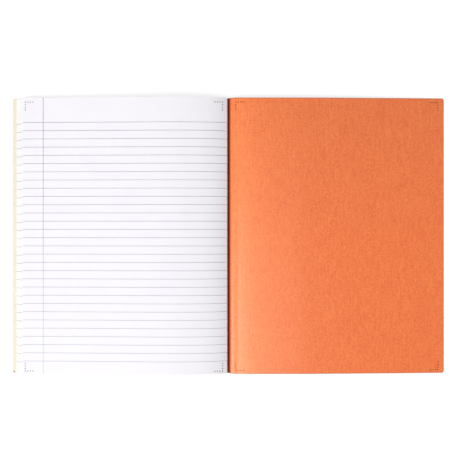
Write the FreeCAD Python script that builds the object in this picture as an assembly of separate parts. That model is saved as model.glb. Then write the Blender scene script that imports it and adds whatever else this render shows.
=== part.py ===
import FreeCAD, Part
import math
import os

from FreeCAD import Vector

# An open composition notebook, lying flat, turned to the inside of its back cover.
# Millimetres. X runs across the spread, Y up the page, Z up from the table.
# The origin is on the table under the stitch line, in the middle of the book.
# Distances called "out" are measured from the stitch line towards a fore-edge.

# Trimmed size
book_height = 247.65
cover_reach = 194.5
corner_radius = 2.0

# Cover card and binding tape
card_thick = 0.5
tape_thick = 0.15
tape_lap = 10.5

# The card near the stitch line: it leaves the table just before the stitch line and
# springs up after it into the back cover's arch. The stitches press a band of it straight
gutter_height = 0.9
front_fold_out = 5.0
front_climb_power = 4.0
back_fold_out = 4.0
arch_height = 5.9
arch_spring = 3.2
arch_fall_out = 65.0
arch_fall_power = 1.2
stitch_band_start = -0.5
stitch_band_end = 0.8

# Ruled sheets: all of them are turned onto the front cover
edge_margin = 3.2
edge_fan = 6.8
edge_thick = 5.1
page_crest_out = 47.0
page_crest_thick = 10.5
page_spring = 15.0
page_fall_ease = 1.3
page_fall_power = 1.8
nose_thick = 2.0
nose_back = 0.5
nose_round = 0.5
fold_gap = 0.1
sheet_groups = 16
group_shift = 0.1

# Sewing thread
thread_radius = 0.2
thread_sides = 4
stitch_length = 14.0
stitch_depth = 1.7
stitch_press = 0.05

# Points that carry the curves
rise_steps = 5
fall_steps = 4
fold_steps = 6

spare = 5.0


def along(start, end, steps):
    """Evenly spaced values from start to end, both included."""
    return [start + (end - start) * i / steps for i in range(steps + 1)]


def box_between(low, high):
    size = high - low
    return Part.makeBox(size.x, size.y, size.z, low)


def extrude_section(edges):
    """A section drawn in the XZ plane, run along the whole height of the book."""
    section = Part.Face(Part.Wire(Part.__sortEdges__(edges)))
    section.translate(Vector(0, -book_height / 2 - spare, 0))
    return section.extrude(Vector(0, book_height + 2 * spare, 0))


def curve_through(points):
    curve = Part.BSplineCurve()
    curve.interpolate(points)
    return curve.toShape()


def plan_prism(left, right, height, left_radius, right_radius):
    """An upright prism over a rectangle with rounded corners on each side."""
    half = height / 2
    prism = box_between(Vector(left, -half, -spare), Vector(right, half, page_crest_thick + 2 * spare))
    rounded = []
    for edge in prism.Edges:
        if abs(edge.Vertexes[0].Z - edge.Vertexes[-1].Z) < spare:
            continue
        at_left = abs(edge.Vertexes[0].X - left) < abs(edge.Vertexes[0].X - right)
        radius = left_radius if at_left else right_radius
        if radius > 0:
            rounded.append((radius, edge))
    for radius in sorted({item[0] for item in rounded}):
        prism = prism.makeFillet(radius, [edge for size, edge in rounded if size == radius])
    return prism


# The cover card


def card_top(x):
    """Height of the card's inner face at x."""
    if x <= -front_fold_out:
        return card_thick
    if x < 0:
        climb = (1 + x / front_fold_out) ** front_climb_power
        return card_thick + (gutter_height - card_thick) * climb
    rise = (arch_height - gutter_height) * (1 - math.exp(-x / arch_spring))
    fall_share = max(0.0, (x - arch_fall_out) / (cover_reach - arch_fall_out))
    fall = (arch_height - card_edge_height()) * fall_share ** arch_fall_power
    return gutter_height + rise - fall


def card_edge_slope():
    return (arch_height - card_thick) * arch_fall_power / (cover_reach - arch_fall_out)


def card_edge_height():
    """The inner face at the fore-edge, so that the outer corner touches the table."""
    return card_thick * math.cos(math.atan(card_edge_slope()))


def card_direction(x):
    """Unit vector along the card at x, pointing away from the front cover."""
    if x >= cover_reach:
        return Vector(1, 0, -card_edge_slope()).normalize()
    step = 0.001
    return Vector(2 * step, 0, card_top(x + step) - card_top(x - step)).normalize()


def card_point(x, depth):
    """The point at a depth under the card's inner face."""
    direction = card_direction(x)
    return Vector(x + direction.z * depth, 0, card_top(x) - direction.x * depth)


def card_stations(start, end):
    """Places that carry the card's curves: close together where it bends most."""
    fold = along(-front_fold_out, back_fold_out, fold_steps)
    rise = [back_fold_out + (arch_fall_out - back_fold_out) * share ** 2 for share in along(0, 1, rise_steps)]
    fall = along(arch_fall_out, cover_reach, fall_steps)
    between = [x for x in fold + rise + fall if start + card_thick < x < end - card_thick]
    return [start] + sorted(set(between)) + [end]


def card_curve(start, end, depth):
    return curve_through([card_point(x, depth) for x in card_stations(start, end)])


def card_across_stitches(start, end, depth):
    return [
        card_curve(start, stitch_band_start, depth),
        Part.makeLine(card_point(stitch_band_start, depth), card_point(stitch_band_end, depth)),
        card_curve(stitch_band_end, end, depth),
    ]


def stitch_point(depth):
    """The middle of the straight band, at a depth under its inner face."""
    return (card_point(stitch_band_start, depth) + card_point(stitch_band_end, depth)) / 2


def card_cut(x, upper, lower):
    """The straight cut through the card at x, square to it."""
    return Part.makeLine(card_point(x, upper), card_point(x, lower))


def flat_cut(x, upper, lower):
    return Part.makeLine(Vector(x, 0, card_thick - upper), Vector(x, 0, card_thick - lower))


def flat_line(start, end, depth):
    return Part.makeLine(Vector(start, 0, card_thick - depth), Vector(end, 0, card_thick - depth))


def tape_seat():
    """Depth of the step in the card that the tape lies in."""
    return card_thick - tape_thick


def front_cover():
    """The front cover's flat card, with the step for the tape along its fold."""
    fold = -front_fold_out
    lap = fold - tape_lap
    far = -cover_reach - spare
    edges = [
        flat_line(far, fold, 0),
        flat_cut(fold, 0, tape_seat()),
        flat_line(lap, fold, tape_seat()),
        flat_cut(lap, tape_seat(), card_thick),
        flat_line(far, lap, card_thick),
        flat_cut(far, 0, card_thick),
    ]
    return extrude_section(edges).common(plan_prism(-cover_reach, spare, book_height, corner_radius, 0))


def cover_spine():
    """The narrow stretch of card between the two folds, with the stitch line in it."""
    edges = card_across_stitches(-front_fold_out, back_fold_out, 0)
    edges += card_across_stitches(-front_fold_out, back_fold_out, tape_seat())
    edges.append(card_cut(-front_fold_out, 0, tape_seat()))
    edges.append(card_cut(back_fold_out, 0, tape_seat()))
    return trim_height(extrude_section(edges))


def back_cover():
    """The back cover's arched card, with the step for the tape along its fold."""
    lap = back_fold_out + tape_lap
    edges = [
        card_curve(back_fold_out, cover_reach, 0),
        card_cut(cover_reach, 0, card_thick),
        card_curve(lap, cover_reach, card_thick),
        card_cut(lap, tape_seat(), card_thick),
        card_curve(back_fold_out, lap, tape_seat()),
        card_cut(back_fold_out, 0, tape_seat()),
    ]
    return extrude_section(edges).common(plan_prism(-spare, cover_reach, book_height, 0, corner_radius))


def spine_tape():
    """Tape over the spine, pressed flush into the card's outer face."""
    edges = card_across_stitches(-front_fold_out, back_fold_out, tape_seat())
    edges += card_across_stitches(-front_fold_out, back_fold_out, card_thick)
    edges.append(card_cut(-front_fold_out, tape_seat(), card_thick))
    edges.append(card_cut(back_fold_out, tape_seat(), card_thick))
    return trim_height(extrude_section(edges))


def back_tape_lap():
    end = back_fold_out + tape_lap
    edges = [
        card_curve(back_fold_out, end, tape_seat()),
        card_cut(end, tape_seat(), card_thick),
        card_curve(back_fold_out, end, card_thick),
        card_cut(back_fold_out, tape_seat(), card_thick),
    ]
    return trim_height(extrude_section(edges))


def front_tape_lap():
    low = Vector(-front_fold_out - tape_lap, -book_height / 2, 0)
    return box_between(low, Vector(-front_fold_out, book_height / 2, tape_thick))


def trim_height(strip):
    return strip.common(plan_prism(-cover_reach, cover_reach, book_height, 0, 0))


def back_fold_point():
    return Vector(back_fold_out, 0, card_top(back_fold_out))


# The ruled sheets


def page_edge_out():
    return cover_reach - edge_margin


def page_top(out):
    """Height of the top sheet."""
    gutter = gutter_height + nose_thick
    edge = card_thick + edge_thick
    crest = card_thick + page_crest_thick
    rise = 1 - math.exp(-out / page_spring)
    share = min(1.0, max(0.0, (out - page_crest_out) / (page_edge_out() - page_crest_out)))
    swell = (1 - share ** page_fall_ease) ** page_fall_power
    return gutter + rise * (edge - gutter + (crest - edge) * swell)


def page_bottom(out):
    """Height of the lowest sheet: on the front cover, and up beside the fold."""
    lift = fold_gap * max(0.0, 1 - out / front_fold_out)
    return card_top(-out) + lift


def page_stations():
    rise = [page_crest_out * share ** 2 for share in along(0, 1, rise_steps)]
    fall = along(page_crest_out, page_edge_out() + spare, fall_steps)
    return rise + fall[1:]


def page_level(share):
    """Edges of one level between the lowest sheet, 0, and the top sheet, 1."""
    if share == 0:
        turn = Vector(-front_fold_out, 0, card_thick)
        fold = [Vector(-out, 0, page_bottom(out)) for out in along(front_fold_out, 0, fold_steps)]
        start = Vector(-page_edge_out() - spare, 0, card_thick)
        return [Part.makeLine(start, turn), curve_through(fold)]
    points = []
    for out in page_stations():
        low = page_bottom(out)
        points.append(Vector(-out, 0, low + share * (page_top(out) - low)))
    return [curve_through(points)]


def level_end(share, out):
    low = page_bottom(out)
    return Vector(-out, 0, low + share * (page_top(out) - low))


def sheet_group(number):
    """One gather of sheets: each lies a little further in than the one below it."""
    low = number / sheet_groups
    high = (number + 1) / sheet_groups
    middle = (low + high) / 2
    far = page_edge_out() + spare
    edges = page_level(low) + page_level(high)
    edges.append(Part.makeLine(level_end(low, 0), level_end(high, 0)))
    edges.append(Part.makeLine(level_end(low, far), level_end(high, far)))
    left = -page_edge_out() + edge_fan * number / (sheet_groups - 1)
    right = -nose_back - nose_round * (2 * middle - 1) ** 2
    height = book_height - group_shift * (number % 2)
    return extrude_section(edges).common(plan_prism(left, right, height, corner_radius, 0))


def page_block():
    groups = [sheet_group(number) for number in range(sheet_groups)]
    return groups[0].multiFuse(groups[1:])


# The sewing


def thread_run(start, end):
    """A straight four-sided stretch of thread, a little longer than its two points."""
    direction = (end - start).normalize()
    side = direction.cross(Vector(1, 0, 1)).normalize() * thread_radius
    corners = []
    for number in range(thread_sides + 1):
        turned = FreeCAD.Rotation(direction, 360 * number / thread_sides).multVec(side)
        corners.append(start - direction * thread_radius / 2 + turned)
    section = Part.Face(Part.makePolygon(corners))
    return section.extrude(end - start + direction * thread_radius)


def sewing_thread():
    """A running stitch through the fold of the sheets and the cover."""
    outer = stitch_point(card_thick + thread_radius - stitch_press)
    inner_out = nose_back + stitch_depth
    middle_height = (page_bottom(inner_out) + page_top(inner_out)) / 2
    inner = Vector(-inner_out, 0, middle_height)
    count = 2 * int((book_height - stitch_length) / stitch_length / 2) + 1
    first = -count * stitch_length / 2
    pieces = []
    for number in range(count):
        here = Vector(0, first + number * stitch_length, 0)
        there = Vector(0, first + (number + 1) * stitch_length, 0)
        side = outer if number % 2 == 0 else inner
        pieces.append(thread_run(here + side, there + side))
        if number + 1 < count:
            pieces.append(thread_run(there + outer, there + inner))
    return pieces[0].multiFuse(pieces[1:])


def main():
    thread = sewing_thread()
    parts = {
        "front_cover": front_cover(),
        "cover_spine": cover_spine().cut(thread),
        "back_cover": back_cover(),
        "page_block": page_block().cut(thread),
        "spine_tape": spine_tape().cut(thread),
        "front_tape_lap": front_tape_lap(),
        "back_tape_lap": back_tape_lap(),
        "sewing_thread": thread,
    }
    os.makedirs("parts", exist_ok=True)
    for node, shape in parts.items():
        shape.exportStep("parts/" + node + ".step")
        print(node, len(shape.Solids), round(shape.Volume, 2), shape.isValid(), shape.BoundBox)
    fold = back_fold_point()
    print("back cover fold", round(fold.x, 4), round(fold.z, 4))


main()
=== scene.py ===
import math
import random

import bmesh
import bpy
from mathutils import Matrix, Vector


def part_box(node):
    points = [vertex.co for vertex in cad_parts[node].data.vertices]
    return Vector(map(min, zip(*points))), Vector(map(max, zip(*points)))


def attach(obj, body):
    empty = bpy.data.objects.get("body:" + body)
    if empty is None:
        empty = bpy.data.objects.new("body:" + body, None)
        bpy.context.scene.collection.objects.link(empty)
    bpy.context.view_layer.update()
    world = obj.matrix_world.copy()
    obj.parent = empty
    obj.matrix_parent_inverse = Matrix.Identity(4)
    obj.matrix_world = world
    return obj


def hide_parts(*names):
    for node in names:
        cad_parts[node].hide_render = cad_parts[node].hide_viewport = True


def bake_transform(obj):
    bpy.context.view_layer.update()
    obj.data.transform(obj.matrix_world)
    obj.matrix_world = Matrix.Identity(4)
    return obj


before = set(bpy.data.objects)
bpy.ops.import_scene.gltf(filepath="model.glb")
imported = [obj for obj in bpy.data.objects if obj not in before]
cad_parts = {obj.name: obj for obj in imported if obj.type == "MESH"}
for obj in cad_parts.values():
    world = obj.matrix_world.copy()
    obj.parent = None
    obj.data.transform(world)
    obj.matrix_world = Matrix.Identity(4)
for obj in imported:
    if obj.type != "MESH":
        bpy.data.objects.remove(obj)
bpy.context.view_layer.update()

MM = 0.001

# The cover card, as in the part's source
CARD = 0.5 * MM
CARD_SHOWN = 0.46 * MM
TAPE = 0.15 * MM
TAPE_LAP = 10.5 * MM
CORNER = 2.0 * MM
GUTTER_HEIGHT = 0.9 * MM
FRONT_FOLD = 5.0 * MM
FRONT_CLIMB_POWER = 4.0
BACK_FOLD = 4.0 * MM
ARCH_HEIGHT = 5.9 * MM
ARCH_SPRING = 3.2 * MM
ARCH_FALL_FROM = 65.0 * MM
ARCH_FALL_POWER = 1.2

# The ruled sheets; the shown leaves start a little further from the stitch line than the solid
EDGE_FAN = 6.8 * MM
EDGE_THICK = 5.1 * MM
CREST_FROM = 47.0 * MM
CREST_THICK = 10.5 * MM
PAGE_SPRING = 15.0 * MM
PAGE_FALL_EASE = 1.3
PAGE_FALL_POWER = 1.8
NOSE_THICK = 2.0 * MM
NOSE_BACK = 0.85 * MM
NOSE_ROUND = 0.5 * MM
FOLD_GAP = 0.1 * MM
SHEET_COUNT = 62
SHEET_FULLEST = 0.16 * MM
SHEET_FILL = 0.86
SHEET_STRAY = 0.14 * MM
TOP_SHEET_THICK = 0.09 * MM

# The printing
HEAD_SPACE = 22.34 * MM
RULE_PITCH = 7.373 * MM
RULE_COUNT = 30
RULE_WIDTH = 0.36 * MM
MARGIN_INSET = 18.6 * MM
MARGIN_WIDTH = 0.5 * MM
TOP_SHEET_SINK = 0.03 * MM
INK_LIFT = 0.012 * MM
INK_THICK = 0.01 * MM
LOWER_SHEET_SLIP = -1.08 * MM
DOT_RADIUS = 0.48 * MM
DOT_PITCH = 2.27 * MM
DOTS_IN_ARM = 4
PAGE_MARKS = {"left": -182.0, "right": -5.2, "top": 119.8, "bottom": -121.3}
COVER_MARKS = {"left": 6.7, "right": 189.3, "top": 120.0, "bottom": -120.9}

# The fold, where shade is painted into the card as a dark band
FOLD_LINE = -0.2 * MM
FOLD_SHADE_FULL = 0.5 * MM
FOLD_SHADE_END = 3.1 * MM
FOLD_PRINT_AND_SHADE_FROM = -3.0 * MM

# Painted sheen on the cover beside the fold, and wear on its edges and corner
SHEEN_MIDDLE = 13 * MM
SHEEN_HALF = 3 * MM
SHEEN_FADE = 22 * MM
SHEEN_CLEAR = 6 * MM
SHEEN_LOWER = 0.4
RIM_WORN = 0.9 * MM
CORNER_WORN = 1.9 * MM
CORNER_SOUND = 3.2 * MM

# The thread
THREAD_RADIUS = 0.2 * MM
THREAD_SUNK = 0.05 * MM
STITCH_LENGTH = 14.0 * MM
STITCH_DIP = 0.48 * MM
STITCH_DIP_POWER = 8
WEAVE = 0.7 * MM

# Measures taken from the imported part
BACK_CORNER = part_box("back_cover")[1]
COVER_REACH = BACK_CORNER.x
HALF_HEIGHT = BACK_CORNER.y
FRONT_REACH = -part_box("front_cover")[0].x
PAGE_REACH = -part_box("page_block")[0].x

# Grain of paper and card, as noise scales a metre
CLOUD_GRAIN = 60
FIBRE_GRAIN = 1400
MOTTLE_GRAIN = 700
STREAK_GRAIN = 520
TOOTH_GRAIN = 1500
SPECKLE_GRAIN = 2600
WORN_GRAIN = 120

# The camera, above the table
CAMERA_HEIGHT = 700.0 * MM
CAMERA_X = -3.0 * MM
CAMERA_Y = 9.6 * MM
VIEW_WIDTH = 406.7 * MM
SENSOR_WIDTH = 36

# The studio: white surroundings, a key lamp, a strip hung over the fold, a low lamp behind the head
WORLD_LIGHT = 0.32
FLOOR_SIDE = 12
FLOOR_DROP = 0.02 * MM
FLOOR_GREY = 0.4
FLOOR_SEEN = 0.68
KEY = {"place": (-2.1, -1.1, 1.8), "width": 1.6, "length": 1.6, "power": 57, "aimed": True}
STRIP = {"place": (-0.27, -0.8, 2.5), "width": 0.25, "length": 1.5, "power": 20, "aimed": False}
FILL = {"place": (0.4, 2.6, 0.6), "width": 1.6, "length": 0.8, "power": 11, "aimed": True}


# Selecting and small mesh helpers


def deselect():
    bpy.ops.object.select_all(action="DESELECT")


def only(piece):
    deselect()
    piece.select_set(True)
    bpy.context.view_layer.objects.active = piece


def apply_modifiers(piece):
    only(piece)
    for modifier in list(piece.modifiers):
        bpy.ops.object.modifier_apply(modifier=modifier.name)


def settle(piece):
    """The object's place goes into its mesh, so that the object sits at the origin."""
    only(piece)
    bpy.ops.object.transform_apply(location=True, rotation=True, scale=True)


def select_verts(piece, wanted):
    """In edit mode: selects the corners that a test wants."""
    mesh = bmesh.from_edit_mesh(piece.data)
    for vert in mesh.verts:
        vert.select = wanted(vert.co)
    mesh.select_flush_mode()
    bmesh.update_edit_mesh(piece.data)


def cut_across(columns):
    """In edit mode: a cut through the whole sheet at each column."""
    for x in columns:
        bpy.ops.mesh.select_all(action="SELECT")
        bpy.ops.mesh.bisect(plane_co=(x, 0, 0), plane_no=(1, 0, 0))


def flat_sheet(name, left, right, bottom, top, columns, rounded=""):
    """A flat sheet with cuts across it, and its left or right corners rounded."""
    deselect()
    bpy.ops.mesh.primitive_plane_add(size=1, location=((left + right) / 2, (bottom + top) / 2, 0))
    piece = bpy.context.active_object
    piece.name = name
    piece.scale = (right - left, top - bottom, 1)
    settle(piece)
    bpy.ops.object.mode_set(mode="EDIT")
    bpy.ops.mesh.select_mode(type="VERT")
    if rounded:
        side = left if rounded == "left" else right
        select_verts(piece, lambda co: abs(co.x - side) < CORNER / 4)
        bpy.ops.mesh.bevel(offset=CORNER, offset_type="OFFSET", segments=6, affect="VERTICES")
    cut_across([x for x in columns if left + MM / 10 < x < right - MM / 10])
    bpy.ops.mesh.select_all(action="DESELECT")
    bpy.ops.object.mode_set(mode="OBJECT")
    return piece


def move_verts(piece, place):
    """Lays the sheet on a surface: each corner goes where the surface has it."""
    for vert in piece.data.vertices:
        vert.co = place(vert.co)
    piece.data.update()


def thicken(piece, thickness, group=""):
    modifier = piece.modifiers.new("thickness", "SOLIDIFY")
    modifier.thickness = thickness
    modifier.offset = -1
    modifier.use_even_offset = True
    modifier.vertex_group = group
    apply_modifiers(piece)


def shade_smooth(piece, angle=30):
    only(piece)
    bpy.ops.object.shade_smooth_by_angle(angle=math.radians(angle))


def copy_of(piece, name):
    other = piece.copy()
    other.data = piece.data.copy()
    other.name = name
    bpy.context.collection.objects.link(other)
    return other


def join(pieces, name):
    deselect()
    for piece in pieces:
        piece.select_set(True)
    bpy.context.view_layer.objects.active = pieces[0]
    bpy.ops.object.join()
    joined = bpy.context.active_object
    joined.name = name
    return joined


def between(start, end, count):
    return [start + (end - start) * i / count for i in range(count + 1)]


# The shape of the card and of the sheets


def card_edge_slope():
    return (ARCH_HEIGHT - CARD) * ARCH_FALL_POWER / (COVER_REACH - ARCH_FALL_FROM)


def card_top(x):
    """Height of the card's inner face."""
    if x <= -FRONT_FOLD:
        return CARD
    if x < 0:
        return CARD + (GUTTER_HEIGHT - CARD) * (1 + x / FRONT_FOLD) ** FRONT_CLIMB_POWER
    rise = (ARCH_HEIGHT - GUTTER_HEIGHT) * (1 - math.exp(-x / ARCH_SPRING))
    share = max(0.0, (x - ARCH_FALL_FROM) / (COVER_REACH - ARCH_FALL_FROM))
    edge = CARD * math.cos(math.atan(card_edge_slope()))
    return GUTTER_HEIGHT + rise - (ARCH_HEIGHT - edge) * share ** ARCH_FALL_POWER


def card_normal(x):
    step = 0.01 * MM
    slope = (card_top(x + step) - card_top(x - step)) / (2 * step)
    return Vector((-slope, 0, 1)).normalized()


def on_card(co, depth=0.0):
    """A point at a depth under the card's inner face."""
    return Vector((co.x, co.y, card_top(co.x))) - card_normal(co.x) * depth


def page_top(out):
    """Height of the top sheet at a distance from the stitch line."""
    gutter = GUTTER_HEIGHT + NOSE_THICK
    edge = CARD + EDGE_THICK
    crest = CARD + CREST_THICK
    rise = 1 - math.exp(-out / PAGE_SPRING)
    share = min(1.0, max(0.0, (out - CREST_FROM) / (PAGE_REACH - CREST_FROM)))
    swell = (1 - share ** PAGE_FALL_EASE) ** PAGE_FALL_POWER
    return gutter + rise * (edge - gutter + (crest - edge) * swell)


def page_bottom(out):
    return card_top(-out) + FOLD_GAP * max(0.0, 1 - out / FRONT_FOLD)


def sheet_height(x, share):
    """Height of the sheet that lies at a share of the way up the block."""
    low = page_bottom(-x)
    return low + share * (page_top(-x) - low)


def top_sheet_left():
    return -PAGE_REACH + EDGE_FAN


def page_columns():
    rise = [-CREST_FROM * share ** 2 for share in between(0, 1, 16)]
    fall = between(-CREST_FROM, -PAGE_REACH, 14)
    return rise + fall[1:]


def card_columns():
    fold = between(-FRONT_FOLD * 1.6, BACK_FOLD * 2, 26)
    rise = [BACK_FOLD * 2 + (ARCH_FALL_FROM - BACK_FOLD * 2) * share ** 1.6 for share in between(0, 1, 14)]
    fall = between(ARCH_FALL_FROM, COVER_REACH, 14)
    return fold + rise[1:] + fall[1:]


# Materials


def srgb(red, green, blue):
    """A colour as an eye reads it, 0 to 255, as a shader wants it."""
    def linear(value):
        value /= 255
        return value / 12.92 if value <= 0.04045 else ((value + 0.055) / 1.055) ** 2.4
    return (linear(red), linear(green), linear(blue), 1)


def new_material(name):
    material = bpy.data.materials.new(name)
    material.use_nodes = True
    tree = material.node_tree
    return material, tree, tree.nodes["Principled BSDF"]


def node(tree, kind, **values):
    made = tree.nodes.new(kind)
    for key, value in values.items():
        setattr(made, key, value)
    return made


def object_coordinates(tree, stretch=(1, 1, 1)):
    coordinate = node(tree, "ShaderNodeTexCoord")
    mapping = node(tree, "ShaderNodeMapping")
    mapping.inputs["Scale"].default_value = stretch
    tree.links.new(coordinate.outputs["Object"], mapping.inputs["Vector"])
    return mapping.outputs["Vector"]


def along(tree, axis):
    """A point's place on the book along X or Y."""
    coordinate = node(tree, "ShaderNodeTexCoord")
    split = node(tree, "ShaderNodeSeparateXYZ")
    tree.links.new(coordinate.outputs["Object"], split.inputs["Vector"])
    return split.outputs[axis]


def noise(tree, vector, scale, detail=3.0, roughness=0.55):
    made = node(tree, "ShaderNodeTexNoise")
    made.inputs["Scale"].default_value = scale
    made.inputs["Detail"].default_value = detail
    made.inputs["Roughness"].default_value = roughness
    tree.links.new(vector, made.inputs["Vector"])
    return made.outputs["Fac"]


def ramp(tree, value, stops):
    made = node(tree, "ShaderNodeValToRGB")
    while len(made.color_ramp.elements) < len(stops):
        made.color_ramp.elements.new(0.5)
    for element, (position, colour) in zip(made.color_ramp.elements, stops):
        element.position = position
        element.color = colour
    tree.links.new(value, made.inputs["Fac"])
    return made.outputs["Color"]


def blend_colours(tree, share, first, second, how="MIX"):
    made = node(tree, "ShaderNodeMix", data_type="RGBA", blend_type=how)
    for socket, value in ((made.inputs["Factor"], share), (made.inputs[6], first), (made.inputs[7], second)):
        if isinstance(value, bpy.types.NodeSocket):
            tree.links.new(value, socket)
        else:
            socket.default_value = value
    return made.outputs[2]


def calculate(tree, operation, first, second=0.0, third=0.0):
    made = node(tree, "ShaderNodeMath", operation=operation)
    for socket, value in zip(made.inputs, (first, second, third)):
        if isinstance(value, bpy.types.NodeSocket):
            tree.links.new(value, socket)
        else:
            socket.default_value = value
    return made.outputs[0]


def share_of(tree, value, start, end, first, last, how="SMOOTHSTEP"):
    """A share that goes from first to last while the value goes from start to end."""
    made = node(tree, "ShaderNodeMapRange", interpolation_type=how)
    made.inputs["From Min"].default_value = start
    made.inputs["From Max"].default_value = end
    made.inputs["To Min"].default_value = first
    made.inputs["To Max"].default_value = last
    tree.links.new(value, made.inputs["Value"])
    return made.outputs["Result"]


def seen(tree):
    """1 to the camera and in mirrors and glass, 0 to the light that falls on things."""
    path = node(tree, "ShaderNodeLightPath")
    share = calculate(tree, "MAXIMUM", path.outputs["Is Camera Ray"], path.outputs["Is Glossy Ray"])
    return calculate(tree, "MAXIMUM", share, path.outputs["Is Transmission Ray"])


def add_bump(tree, shader, height, distance, strength=1.0):
    made = node(tree, "ShaderNodeBump")
    made.inputs["Distance"].default_value = distance
    made.inputs["Strength"].default_value = strength
    tree.links.new(height, made.inputs["Height"])
    tree.links.new(made.outputs["Normal"], shader.inputs["Normal"])


def matt(shader, roughness, specular):
    shader.inputs["Roughness"].default_value = roughness
    shader.inputs["Specular IOR Level"].default_value = specular


def paper(name, light, dark):
    """Writing paper: soft fibre clouds and a faint tooth."""
    material, tree, shader = new_material(name)
    place = object_coordinates(tree)
    clouds = noise(tree, place, CLOUD_GRAIN, 4)
    fibres = noise(tree, object_coordinates(tree, (1, 2.2, 1)), FIBRE_GRAIN, 2, 0.7)
    mixed = calculate(tree, "MULTIPLY_ADD", fibres, 0.4, calculate(tree, "MULTIPLY", clouds, 0.6))
    colour = ramp(tree, mixed, [(0.35, dark), (0.65, light)])
    tree.links.new(colour, shader.inputs["Base Color"])
    matt(shader, 0.75, 0.25)
    add_bump(tree, shader, fibres, 0.02 * MM, 0.35)
    return material, tree, shader, colour


def top_paper():
    return paper("writing_paper", srgb(251, 249, 254), srgb(248, 246, 252))[0]


def lower_paper():
    """The sheets underneath: each has the ends of its own rules at its edge."""
    material, tree, shader, colour = paper("lower_sheets_paper", srgb(246, 245, 245), srgb(240, 239, 240))
    first = HALF_HEIGHT - HEAD_SPACE + LOWER_SHEET_SLIP
    down = calculate(tree, "SUBTRACT", first + RULE_PITCH / 2, along(tree, "Y"))
    inside = calculate(tree, "PINGPONG", down, RULE_PITCH / 2)
    near = calculate(tree, "GREATER_THAN", inside, RULE_PITCH / 2 - RULE_WIDTH / 2)
    below = calculate(tree, "GREATER_THAN", down, 0)
    above = calculate(tree, "LESS_THAN", down, RULE_PITCH * RULE_COUNT)
    share = calculate(tree, "MULTIPLY", calculate(tree, "MULTIPLY", near, below), above)
    printed = blend_colours(tree, share, colour, srgb(172, 172, 185))
    tree.links.new(printed, shader.inputs["Base Color"])
    return material


def ink(name, colour, faded=0.0):
    """Printing ink that lets the paper's grain through, and is thinner towards the foot of the page."""
    material, tree, shader = new_material(name)
    speckle = noise(tree, object_coordinates(tree), SPECKLE_GRAIN, 2, 0.7)
    thin = tuple(min(1, c * 1.2 + 0.02) for c in colour[:3]) + (1,)
    printed = ramp(tree, speckle, [(0.35, colour), (0.7, thin)])
    down = calculate(tree, "MULTIPLY_ADD", along(tree, "Y"), -faded / (2 * HALF_HEIGHT), faded / 2)
    tree.links.new(blend_colours(tree, down, printed, srgb(249, 247, 253)), shader.inputs["Base Color"])
    matt(shader, 0.7, 0.2)
    return material


def fold_shade_share(tree):
    """Share of painted shade: full in the fold of the stitch line, none past its sides."""
    away = calculate(tree, "ABSOLUTE", calculate(tree, "SUBTRACT", along(tree, "X"), FOLD_LINE))
    return share_of(tree, away, FOLD_SHADE_FULL, FOLD_SHADE_END, 1, 0)


def painted_sheen_share(tree):
    """Share of painted sheen: palest beside the fold, and more so at the foot."""
    across = along(tree, "X")
    away = calculate(tree, "ABSOLUTE", calculate(tree, "SUBTRACT", across, SHEEN_MIDDLE))
    away = calculate(tree, "MAXIMUM", calculate(tree, "SUBTRACT", away, SHEEN_HALF), 0)
    share = calculate(tree, "EXPONENT", calculate(tree, "MULTIPLY", away, -1 / SHEEN_FADE))
    share = calculate(tree, "MULTIPLY", share, share_of(tree, across, 0, SHEEN_CLEAR, 0, 1))
    lower = calculate(tree, "MULTIPLY_ADD", along(tree, "Y"), -SHEEN_LOWER / HALF_HEIGHT, 1)
    return calculate(tree, "MULTIPLY", calculate(tree, "MULTIPLY", share, lower), 1 / (1 + SHEEN_LOWER))


def head_shade_share(tree):
    """Share of painted shade: none up to the middle of the cover, full at its head."""
    return calculate(tree, "MAXIMUM", calculate(tree, "MULTIPLY", along(tree, "Y"), 1 / HALF_HEIGHT), 0)


def near_rim(tree, grain):
    """Share of wear: full on the outer edges of the cover, ragged where it fades."""
    side = calculate(tree, "SUBTRACT", calculate(tree, "ABSOLUTE", along(tree, "X")), COVER_REACH)
    end = calculate(tree, "SUBTRACT", calculate(tree, "ABSOLUTE", along(tree, "Y")), HALF_HEIGHT)
    inside = calculate(tree, "MAXIMUM", side, end)
    ragged = calculate(tree, "MULTIPLY_ADD", calculate(tree, "SUBTRACT", grain, 0.5), RIM_WORN, inside)
    return share_of(tree, ragged, -RIM_WORN, 0, 0, 1, "LINEAR")


def near_corner(tree, grain):
    """Share of wear on the front cover's bottom corner, where the print has rubbed off."""
    coordinate = node(tree, "ShaderNodeTexCoord")
    away = node(tree, "ShaderNodeVectorMath", operation="DISTANCE")
    tree.links.new(coordinate.outputs["Object"], away.inputs[0])
    away.inputs[1].default_value = (-COVER_REACH + 0.3 * MM, -HALF_HEIGHT + 0.3 * MM, CARD)
    ragged = calculate(tree, "MULTIPLY_ADD", grain, 1.5 * MM, away.outputs["Value"])
    return share_of(tree, ragged, CORNER_WORN, CORNER_SOUND, 1, 0)


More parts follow.
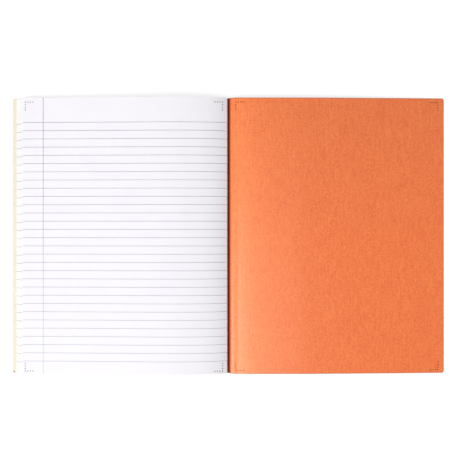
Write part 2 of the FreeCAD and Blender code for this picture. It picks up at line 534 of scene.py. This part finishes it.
def card(name, light, middle, dark, roughness=0.6, specular=0.35):
    """Cover card: mottled, with a faint grain up the sheet and a little tooth."""
    material, tree, shader = new_material(name)
    place = object_coordinates(tree)
    mottle = noise(tree, place, MOTTLE_GRAIN, 4, 0.6)
    streaks = noise(tree, object_coordinates(tree, (1, 0.22, 1)), STREAK_GRAIN, 3, 0.6)
    clouds = noise(tree, place, CLOUD_GRAIN, 3)
    mixed = calculate(tree, "MULTIPLY", mottle, 0.6)
    mixed = calculate(tree, "MULTIPLY_ADD", streaks, 0.3, mixed)
    mixed = calculate(tree, "MULTIPLY_ADD", clouds, 0.1, mixed)
    colour = ramp(tree, mixed, [(0.38, dark), (0.5, middle), (0.62, light)])
    tree.links.new(colour, shader.inputs["Base Color"])
    matt(shader, roughness, specular)
    uneven = calculate(tree, "MULTIPLY_ADD", mottle, 0.12, roughness - 0.06)
    tree.links.new(uneven, shader.inputs["Roughness"])
    tooth = noise(tree, place, TOOTH_GRAIN, 3, 0.65)
    height = calculate(tree, "MULTIPLY_ADD", tooth, 0.4, calculate(tree, "MULTIPLY", mottle, 0.6))
    add_bump(tree, shader, height, 0.02 * MM, 0.4)
    return material, tree, shader, colour, tooth


def orange_card():
    material, tree, shader, colour, tooth = card(
        "cover_inside_orange", srgb(252, 134, 69), srgb(244, 121, 61), srgb(234, 107, 52), 0.33, 0.5)
    # painted shade: the orange darker towards the head of the cover
    painted_head_shade = blend_colours(tree, 1.0, colour, (0.92, 0.955, 1.03, 1), "MULTIPLY")
    # painted sheen: the orange made paler beside the fold, more so towards the foot
    painted_sheen_colour = blend_colours(tree, 1.0, colour, (1.24, 1.48, 1.66, 1), "MULTIPLY")
    colour = blend_colours(tree, head_shade_share(tree), colour, painted_head_shade)
    colour = blend_colours(tree, painted_sheen_share(tree), colour, painted_sheen_colour)
    worn = calculate(tree, "MULTIPLY", near_rim(tree, tooth), 0.8)
    colour = blend_colours(tree, worn, colour, srgb(168, 92, 60))
    # painted shade: the crease of the fold darkened into the card's colour
    colour = blend_colours(tree, fold_shade_share(tree), colour, srgb(112, 34, 10))
    tree.links.new(colour, shader.inputs["Base Color"])
    return material


def cream_card():
    material, tree, shader, colour, tooth = card(
        "cover_inside_cream", srgb(245, 236, 212), srgb(241, 231, 206), srgb(236, 223, 197))
    worn = near_corner(tree, tooth)
    tree.links.new(blend_colours(tree, worn, colour, srgb(170, 158, 132)), shader.inputs["Base Color"])
    return material


def outside_card():
    material, tree, shader, colour, tooth = card(
        "cover_outside", srgb(214, 96, 52), srgb(204, 86, 45), srgb(193, 76, 38), 0.4, 0.5)
    worn = calculate(tree, "MULTIPLY", near_rim(tree, tooth), 0.7)
    tree.links.new(blend_colours(tree, worn, colour, srgb(206, 140, 106)), shader.inputs["Base Color"])
    return material


def card_core():
    return card("card_edge", srgb(204, 160, 124), srgb(188, 140, 104), srgb(164, 116, 84))[0]


def cloth_tape():
    """Book cloth: a fine plain weave."""
    material, tree, shader = new_material("binding_cloth")
    turns = 2 * math.pi / WEAVE
    warp = calculate(tree, "SINE", calculate(tree, "MULTIPLY", along(tree, "X"), turns))
    weft = calculate(tree, "SINE", calculate(tree, "MULTIPLY", along(tree, "Y"), turns))
    weave = calculate(tree, "MULTIPLY_ADD", calculate(tree, "MULTIPLY", warp, weft), 0.5, 0.5)
    worn = noise(tree, object_coordinates(tree), WORN_GRAIN, 4)
    mixed = calculate(tree, "MULTIPLY_ADD", worn, 0.6, calculate(tree, "MULTIPLY", weave, 0.4))
    colour = ramp(tree, mixed, [(0.3, srgb(20, 19, 20)), (0.75, srgb(52, 49, 48))])
    tree.links.new(colour, shader.inputs["Base Color"])
    matt(shader, 0.7, 0.3)
    add_bump(tree, shader, weave, 0.05 * MM, 0.8)
    return material


def cotton_thread():
    material, tree, shader = new_material("sewing_cotton")
    coordinate = object_coordinates(tree, (900, 2600, 900))
    twist = node(tree, "ShaderNodeTexWave", wave_type="BANDS", bands_direction="DIAGONAL")
    twist.inputs["Scale"].default_value = 0.6
    twist.inputs["Distortion"].default_value = 1.5
    tree.links.new(coordinate, twist.inputs["Vector"])
    colour = ramp(tree, twist.outputs["Fac"], [(0.2, srgb(196, 190, 176)), (0.8, srgb(238, 234, 222))])
    tree.links.new(colour, shader.inputs["Base Color"])
    matt(shader, 0.8, 0.2)
    add_bump(tree, shader, twist.outputs["Fac"], 0.05 * MM, 0.8)
    return material


# The sheets


def make_top_sheet():
    """The last page: the leaf that faces up, ruled on the side that shows."""
    left, right = top_sheet_left(), -NOSE_BACK - NOSE_ROUND * 0.9
    sheet = flat_sheet("top_sheet", left, right, -HALF_HEIGHT, HALF_HEIGHT, page_columns(), "left")
    move_verts(sheet, page_print_place(0))
    thicken(sheet, TOP_SHEET_THICK)
    shade_smooth(sheet)
    sheet.data.materials.append(top_paper())
    return sheet


def make_lower_sheets():
    """All the leaves under it, fanned out at the fore-edge and closing on the stitch line."""
    pick = random.Random(7)
    model = flat_sheet("leaf", -PAGE_REACH, 0, -HALF_HEIGHT, HALF_HEIGHT, page_columns()[1:-1], "left")
    leaves = []
    for number in range(SHEET_COUNT):
        share = (number + 0.5) / (SHEET_COUNT + 1)
        fan = EDGE_FAN * share + pick.uniform(0, SHEET_STRAY)
        nose = NOSE_BACK + NOSE_ROUND * (2 * share - 1) ** 2
        up, down = pick.uniform(0, SHEET_STRAY), pick.uniform(0, SHEET_STRAY)
        leaf = copy_of(model, "leaf_%02d" % number)

        def laid(co):
            keep = (PAGE_REACH - fan - nose) / PAGE_REACH
            x = -nose + co.x * keep
            if co.x < -PAGE_REACH + 2 * CORNER:
                x = co.x + fan
            y = min(co.y, HALF_HEIGHT - up) if co.y > 0 else max(co.y, -HALF_HEIGHT + down)
            return Vector((x, y, sheet_height(x, share)))

        move_verts(leaf, laid)
        fullness = leaf.vertex_groups.new(name="fullness")
        for vert in leaf.data.vertices:
            room = (page_top(-vert.co.x) - page_bottom(-vert.co.x)) / (SHEET_COUNT + 1)
            fullness.add([vert.index], SHEET_FILL * room / SHEET_FULLEST, "REPLACE")
        leaves.append(leaf)
    only(model)
    bpy.ops.object.delete()
    block = join(leaves, "lower_sheets")
    thicken(block, SHEET_FULLEST, "fullness")
    shade_smooth(block, 40)
    block.data.materials.append(lower_paper())
    return block


# The printing


def page_print_place(lift):
    return lambda co: Vector((co.x, co.y, sheet_height(co.x, 1) - TOP_SHEET_SINK + lift + co.z))


def make_rules():
    """Thirty printed rules across the page."""
    left, right = top_sheet_left() + 0.05 * MM, -NOSE_BACK - NOSE_ROUND
    first = HALF_HEIGHT - HEAD_SPACE
    model = flat_sheet("rule", left, right, first - RULE_WIDTH / 2, first + RULE_WIDTH / 2, page_columns())
    move_verts(model, page_print_place(INK_LIFT))
    rules = [model]
    for number in range(1, RULE_COUNT):
        rule = copy_of(model, "rule_%02d" % number)
        move_verts(rule, lambda co: Vector((co.x, co.y - number * RULE_PITCH, co.z)))
        rules.append(rule)
    lines = join(rules, "ruled_lines")
    thicken(lines, INK_THICK)
    lines.data.materials.append(ink("rule_ink", srgb(128, 127, 142), 0.32))
    return lines


def make_margin_line():
    middle = top_sheet_left() + MARGIN_INSET
    left, right = middle - MARGIN_WIDTH / 2, middle + MARGIN_WIDTH / 2
    line = flat_sheet("margin_line", left, right, -HALF_HEIGHT, HALF_HEIGHT, [])
    move_verts(line, page_print_place(1.5 * INK_LIFT))
    thicken(line, INK_THICK)
    line.data.materials.append(ink("margin_ink", srgb(138, 136, 151), 0.58))
    return line


def corner_spots(marks):
    """Places of the dots of the four corner angles, whose arms run inwards along the edges."""
    spots = set()
    for side, inward_x in (("left", 1), ("right", -1)):
        for end, inward_y in (("top", -1), ("bottom", 1)):
            x, y = marks[side] * MM, marks[end] * MM
            for step in range(DOTS_IN_ARM):
                spots.add((x + inward_x * step * DOT_PITCH, y))
                spots.add((x, y + inward_y * step * DOT_PITCH))
    return sorted(spots)


def make_dots(name, marks, place, material):
    """Printed corner angles, each of small round dots."""
    dots = []
    for x, y in corner_spots(marks):
        deselect()
        bpy.ops.mesh.primitive_cylinder_add(
            vertices=16, radius=DOT_RADIUS, depth=INK_THICK, location=(x, y, 0))
        dot = bpy.context.active_object
        settle(dot)
        move_verts(dot, place)
        dots.append(dot)
    printed = join(dots, name)
    settle(printed)
    printed.data.materials.append(material)
    return printed


# The cover


def paint_card(piece, inside, fold_print_and_shade):
    """Inner face, outer face and cut edge of a card each get their own finish."""
    for material in (inside, outside_card(), card_core(), fold_print_and_shade):
        piece.data.materials.append(material)
    for face in piece.data.polygons:
        if face.normal.z > 0.3:
            # near the stitch line the front card takes the orange, with its painted fold shade
            face.material_index = 3 if FOLD_PRINT_AND_SHADE_FROM < face.center.x < 0 else 0
        elif face.normal.z < -0.3:
            face.material_index = 1
        else:
            face.material_index = 2


def make_card(name, left, right, rounded, inside, fold_print_and_shade):
    sheet = flat_sheet(name, left, right, -HALF_HEIGHT, HALF_HEIGHT, card_columns(), rounded)
    move_verts(sheet, on_card)
    thicken(sheet, CARD_SHOWN)
    paint_card(sheet, inside, fold_print_and_shade)
    shade_smooth(sheet)
    return sheet


def make_tape(name, left, right):
    """Cloth tape on the outer face of the card."""
    tape = flat_sheet(name, left, right, -HALF_HEIGHT, HALF_HEIGHT, card_columns())
    move_verts(tape, lambda co: on_card(co, CARD - TAPE))
    thicken(tape, TAPE)
    shade_smooth(tape)
    tape.data.materials.append(cloth_tape())
    return tape


# The sewing


def make_stitches():
    """The stitches that lie on the tape, each dipping into its holes at both ends."""
    middle = on_card(Vector((0, 0, 0)), CARD + THREAD_RADIUS - THREAD_SUNK)
    count = 2 * int((2 * HALF_HEIGHT - STITCH_LENGTH) / STITCH_LENGTH / 2) + 1
    first = -count * STITCH_LENGTH / 2
    normal = card_normal(0)
    stitches = []
    for number in range(0, count, 2):
        y = first + (number + 0.5) * STITCH_LENGTH
        deselect()
        bpy.ops.mesh.primitive_cylinder_add(
            vertices=12, radius=THREAD_RADIUS, depth=STITCH_LENGTH, location=(middle.x, y, middle.z),
            rotation=(math.pi / 2, 0, 0))
        stitch = bpy.context.active_object
        settle(stitch)
        bpy.ops.object.mode_set(mode="EDIT")
        for share in between(-0.5, 0.5, 10)[1:-1]:
            bpy.ops.mesh.select_all(action="SELECT")
            bpy.ops.mesh.bisect(plane_co=(0, y + share * STITCH_LENGTH, 0), plane_no=(0, 1, 0))
        bpy.ops.object.mode_set(mode="OBJECT")

        def dipped(co):
            share = abs(co.y - y) / (STITCH_LENGTH / 2)
            return co + normal * (STITCH_DIP * share ** STITCH_DIP_POWER)

        move_verts(stitch, dipped)
        stitches.append(stitch)
    thread = join(stitches, "stitches")
    settle(thread)
    shade_smooth(thread, 50)
    thread.data.materials.append(cotton_thread())
    return thread


# The studio


def make_floor():
    deselect()
    bpy.ops.mesh.primitive_plane_add(size=FLOOR_SIDE, location=(0, 0, -FLOOR_DROP))
    floor = bpy.context.active_object
    floor.name = "floor"
    material, tree, shader = new_material("floor_white")
    shader.inputs["Base Color"].default_value = (FLOOR_GREY, FLOOR_GREY, FLOOR_GREY, 1)
    matt(shader, 0.9, 0.1)
    shader.inputs["Emission Color"].default_value = (1, 1, 1, 1)
    tree.links.new(calculate(tree, "MULTIPLY", seen(tree), FLOOR_SEEN), shader.inputs["Emission Strength"])
    floor.data.materials.append(material)


def make_world():
    world = bpy.data.worlds.new("studio")
    bpy.context.scene.world = world
    world.use_nodes = True
    tree = world.node_tree
    background = tree.nodes["Background"]
    background.inputs["Color"].default_value = (1, 1, 1, 1)
    strength = calculate(tree, "MULTIPLY_ADD", seen(tree), 1 - WORLD_LIGHT, WORLD_LIGHT)
    tree.links.new(strength, background.inputs["Strength"])


def make_lamp(name, place, width, length, power, aimed):
    """A soft box: aimed at the book, or hung level over it."""
    deselect()
    bpy.ops.object.light_add(type="AREA", location=place)
    lamp = bpy.context.active_object
    lamp.name = name
    lamp.data.shape = "RECTANGLE"
    lamp.data.size = width
    lamp.data.size_y = length
    lamp.data.energy = power
    if aimed:
        lamp.rotation_euler = (-Vector(place)).to_track_quat("-Z", "Y").to_euler()


def make_camera():
    deselect()
    bpy.ops.object.camera_add(location=(CAMERA_X, CAMERA_Y, CAMERA_HEIGHT), rotation=(0, 0, 0))
    camera = bpy.context.active_object
    camera.data.sensor_width = SENSOR_WIDTH
    camera.data.lens = SENSOR_WIDTH * CAMERA_HEIGHT / VIEW_WIDTH
    camera.data.clip_start = 0.01
    camera.data.dof.use_dof = False
    bpy.context.scene.camera = camera


def make_studio():
    bpy.context.scene.view_settings.view_transform = "Standard"
    make_camera()
    make_floor()
    make_world()
    make_lamp("key_lamp", **KEY)
    make_lamp("strip_lamp", **STRIP)
    make_lamp("fill_lamp", **FILL)


# The book, piece by piece


def dress_sheets(body):
    top_sheet = make_top_sheet()
    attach(top_sheet, body)
    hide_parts("page_block")
    lower_sheets = make_lower_sheets()
    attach(lower_sheets, body)
    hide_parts("page_block")
    dot_grey = ink("page_dot_ink", srgb(66, 68, 80))
    page_dots = make_dots("page_corner_dots", PAGE_MARKS, page_print_place(INK_LIFT), dot_grey)
    for printed in (make_rules(), make_margin_line(), page_dots):
        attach(printed, body)


def bend_at_back(piece):
    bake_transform(piece)


def bend_at_front(piece):
    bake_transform(piece)


def dress_cover():
    orange = orange_card()
    back_card = make_card("back_cover_card", 0, COVER_REACH, "right", orange, orange)
    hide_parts("back_cover", "cover_spine")
    bend_at_back(back_card)
    dot_red = ink("cover_dot_ink", srgb(88, 18, 8))
    cover_dots = make_dots(
        "cover_corner_dots", COVER_MARKS, lambda co: on_card(co, -INK_LIFT - co.z), dot_red)
    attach(cover_dots, "back")

    front_card = make_card("front_cover_card", -FRONT_REACH, 0, "left", cream_card(), orange)
    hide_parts("front_cover", "cover_spine")
    bend_at_front(front_card)


def dress_spine(body):
    back_tape = make_tape("back_tape", 0, BACK_FOLD + TAPE_LAP)
    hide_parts("back_tape_lap", "spine_tape")
    bend_at_back(back_tape)
    front_tape = make_tape("front_tape", -FRONT_FOLD - TAPE_LAP, 0)
    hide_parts("front_tape_lap", "spine_tape")
    bend_at_front(front_tape)

    stitches = make_stitches()
    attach(stitches, body)
    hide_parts("sewing_thread")


make_studio()
dress_sheets("sheets_and_spine")
dress_cover()
dress_spine("sheets_and_spine")
